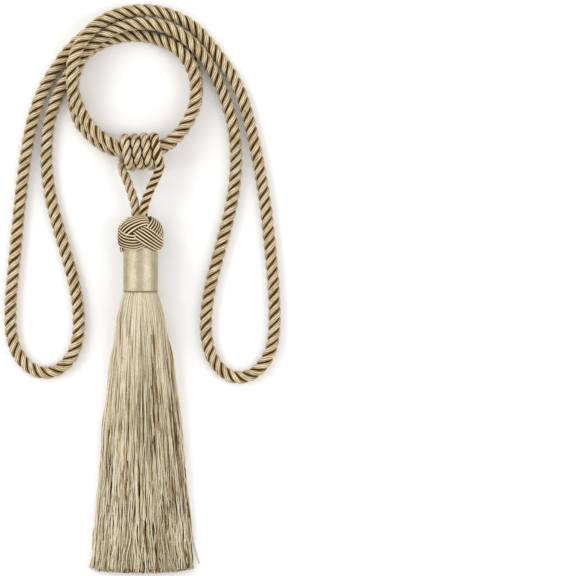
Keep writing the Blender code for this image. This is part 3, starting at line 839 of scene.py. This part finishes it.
def strand_line(rng, p, q, stations):
    """The middle line of one strand: it wanders from its place more and more towards its end."""
    length = SKIRT_LENGTH - CORNER_CUT * abs(p) ** CORNER_POWER - UNEVEN_CUT * rng.random() ** 2
    along = np.append(stations[stations < length - LAST_STEP], length)
    x, z = skirt_place(p, q, along)
    loose = np.clip(along / SKIRT_LENGTH, 0, 1)
    for wave in STRAND_WAVES:
        size = rng.uniform(wave.smallest, wave.largest)
        pace = rng.uniform(wave.shortest, wave.longest)
        phase = rng.uniform(0, math.tau)
        x = x + size * loose**WAVE_POWER * np.sin(math.tau * along / pace + phase)
        z = z + WAVE_UP * size * loose * np.sin(math.tau * along / pace + WAVE_UP_PHASE * phase)
    inner = 1 - abs(p) ** SIDE_POWER
    x = x + rng.gauss(0.0, SPLAY) * loose**SPLAY_POWER * inner
    x = x - FLARE * loose**FLARE_POWER * min(max((-p - FLARE_FROM) / (1 - FLARE_FROM), 0.0), 1.0)
    x = x + loose * inner * sum(lean.size * math.sin(lean.across * p + lean.up * q) for lean in LOCK_LEANS)
    return np.stack([x, NECK_END_Y - along, z], axis=1)


def outer_tone(rng, p, below_top):
    """The tone of a strand in view: lower rows are darker, as painted shade, apart from their sides, which
    lie open.
    """
    covered = 1 - min(abs(p) / OPEN_SIDE, 1.0) ** OPEN_POWER
    return rng.uniform(*OUTER_TONES) - LAYER_SHADE * min(below_top, SHADED_LAYERS) * covered


def skirt_strands():
    """The strands in bundles: whole ones in the outer layers, and the last stretch of those inside."""
    rng = random.Random(SEED)
    bundles = [Bundle() for _ in range(SKIRT_PIECES)]
    number = 0
    for row in range(STRAND_ROWS):
        level = (row + 0.5) / STRAND_ROWS
        count = round(STRANDS_ACROSS * math.sqrt(1 - ROW_NARROWING * level**2))
        below_top = STRAND_ROWS - 1 - row
        for column in range(count):
            p = 2 * (column + 0.5 + rng.uniform(-COLUMN_JITTER, COLUMN_JITTER)) / count - 1
            q = level
            if row > 0:
                q = level + (rng.uniform(-ROW_JITTER, ROW_JITTER) - row_slope(p, level)) / STRAND_ROWS
            aside = not WHOLE_ASIDE <= column < count - WHOLE_ASIDE
            whole = row == 0 or below_top < WHOLE_LAYERS or aside
            points = strand_line(rng, p, q, STRAND_STATIONS if whole else INNER_STATIONS)
            radius = STRAND_RADIUS * rng.uniform(*STRAND_THICKNESSES)
            points[:, 2] = np.maximum(points[:, 2], radius)
            # Strands hidden inside are dark with painted shade.
            tone = rng.uniform(*INNER_TONES)
            if whole:
                tone = outer_tone(rng, p, below_top)
            rings = round_tube(points, radius, STRAND_SIDES if whole else INNER_SIDES)
            bundles[number % SKIRT_PIECES].tube(rings, tone=max(tone, 0.0))
            number += 1
    return bundles


def skirt(look, inner_look):
    """The skirt's strands round a core painted dark as shade, with one strand that lies apart."""
    bundles = skirt_strands()
    stray = spline(STRAY, STRAY_STEP)
    bundles[0].tube(round_tube(stray, STRAY_RADIUS, STRAY_SIDES), tone=STRAY_TONE)
    for part, bundle in enumerate(bundles):
        made = bundle.build(f"skirt_strands_{part + 1}", look)
        if part == 0:
            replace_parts(made, "skirt")
    rings = []
    for along in np.linspace(0.0, SKIRT_LENGTH - SKIRT_CORE_SHORT, SKIRT_CORE_RINGS):
        ring = []
        for angle in math.tau * np.arange(SKIRT_CORE_SIDES) / SKIRT_CORE_SIDES:
            p, q = SKIRT_CORE_ACROSS * math.cos(angle), 0.5 + SKIRT_CORE_UP * math.sin(angle)
            x, z = skirt_place(p, q, along)
            ring.append((float(x), NECK_END_Y - along, float(z)))
        rings.append(ring)
    core = Bundle()
    core.tube(np.array(rings)[:, ::-1])
    core.build("skirt_core", inner_look)


# The surface and the light.


def surface():
    """The pale surface that the tieback lies on."""
    mesh = bpy.data.meshes.new("surface")
    corners = [(-1, -1), (1, -1), (1, 1), (-1, 1)]
    mesh.from_pydata([(x * SURFACE_HALF, y * SURFACE_HALF, 0) for x, y in corners], [], [(0, 1, 2, 3)])
    made = bpy.data.objects.new("surface", mesh)
    bpy.context.scene.collection.objects.link(made)
    look = bpy.data.materials.new("surface")
    look.use_nodes = True
    shader = look.node_tree.nodes["Principled BSDF"]
    shader.inputs["Base Color"].default_value = (SURFACE_WHITE, SURFACE_WHITE, SURFACE_WHITE, 1)
    shader.inputs["Roughness"].default_value = 0.9
    shader.inputs["Specular IOR Level"].default_value = 0.1
    mesh.materials.append(look)


def light():
    """An even white sky and three soft lamps."""
    scene = bpy.context.scene
    scene.world = bpy.data.worlds.new("studio")
    scene.world.use_nodes = True
    background = scene.world.node_tree.nodes["Background"]
    background.inputs["Color"].default_value = (1, 1, 1, 1)
    background.inputs["Strength"].default_value = SKY_STRENGTH
    for lamp in LAMPS:
        data = bpy.data.lights.new(lamp.name, "AREA")
        data.shape = "RECTANGLE"
        data.size, data.size_y = lamp.size
        data.energy = lamp.watts
        made = bpy.data.objects.new(lamp.name, data)
        scene.collection.objects.link(made)
        made.location = lamp.place
        made.rotation_euler = (Vector(lamp.target) - Vector(lamp.place)).to_track_quat("-Z", "Y").to_euler()
        made.visible_camera = False
    scene.view_settings.view_transform = "Standard"
    scene.view_settings.look = "None"


def main():
    camera()
    inside = painted_shade_look("shaded_yarn", SHADED_YARN)
    tieback_rope(rope_look("rope_yarn", ROPE_YARN, groove_at=0.33))
    hanger(rope_look("cord_yarn", CORD_YARN, groove_at=0.35, wider_shade_from=CORD_SHADE_WIDENS_AT))
    wind_core(inside)
    head_knot(cord_look("knot_yarn", KNOT_YARN, DEEP), inside)
    neck_wrap(satin_look("neck_satin", NECK_SATIN), cord_look("binding_yarn", BINDING_YARN, BROWN))
    skirt(strand_look("skirt_yarn", SKIRT_YARN), inside)
    surface()
    light()


main()
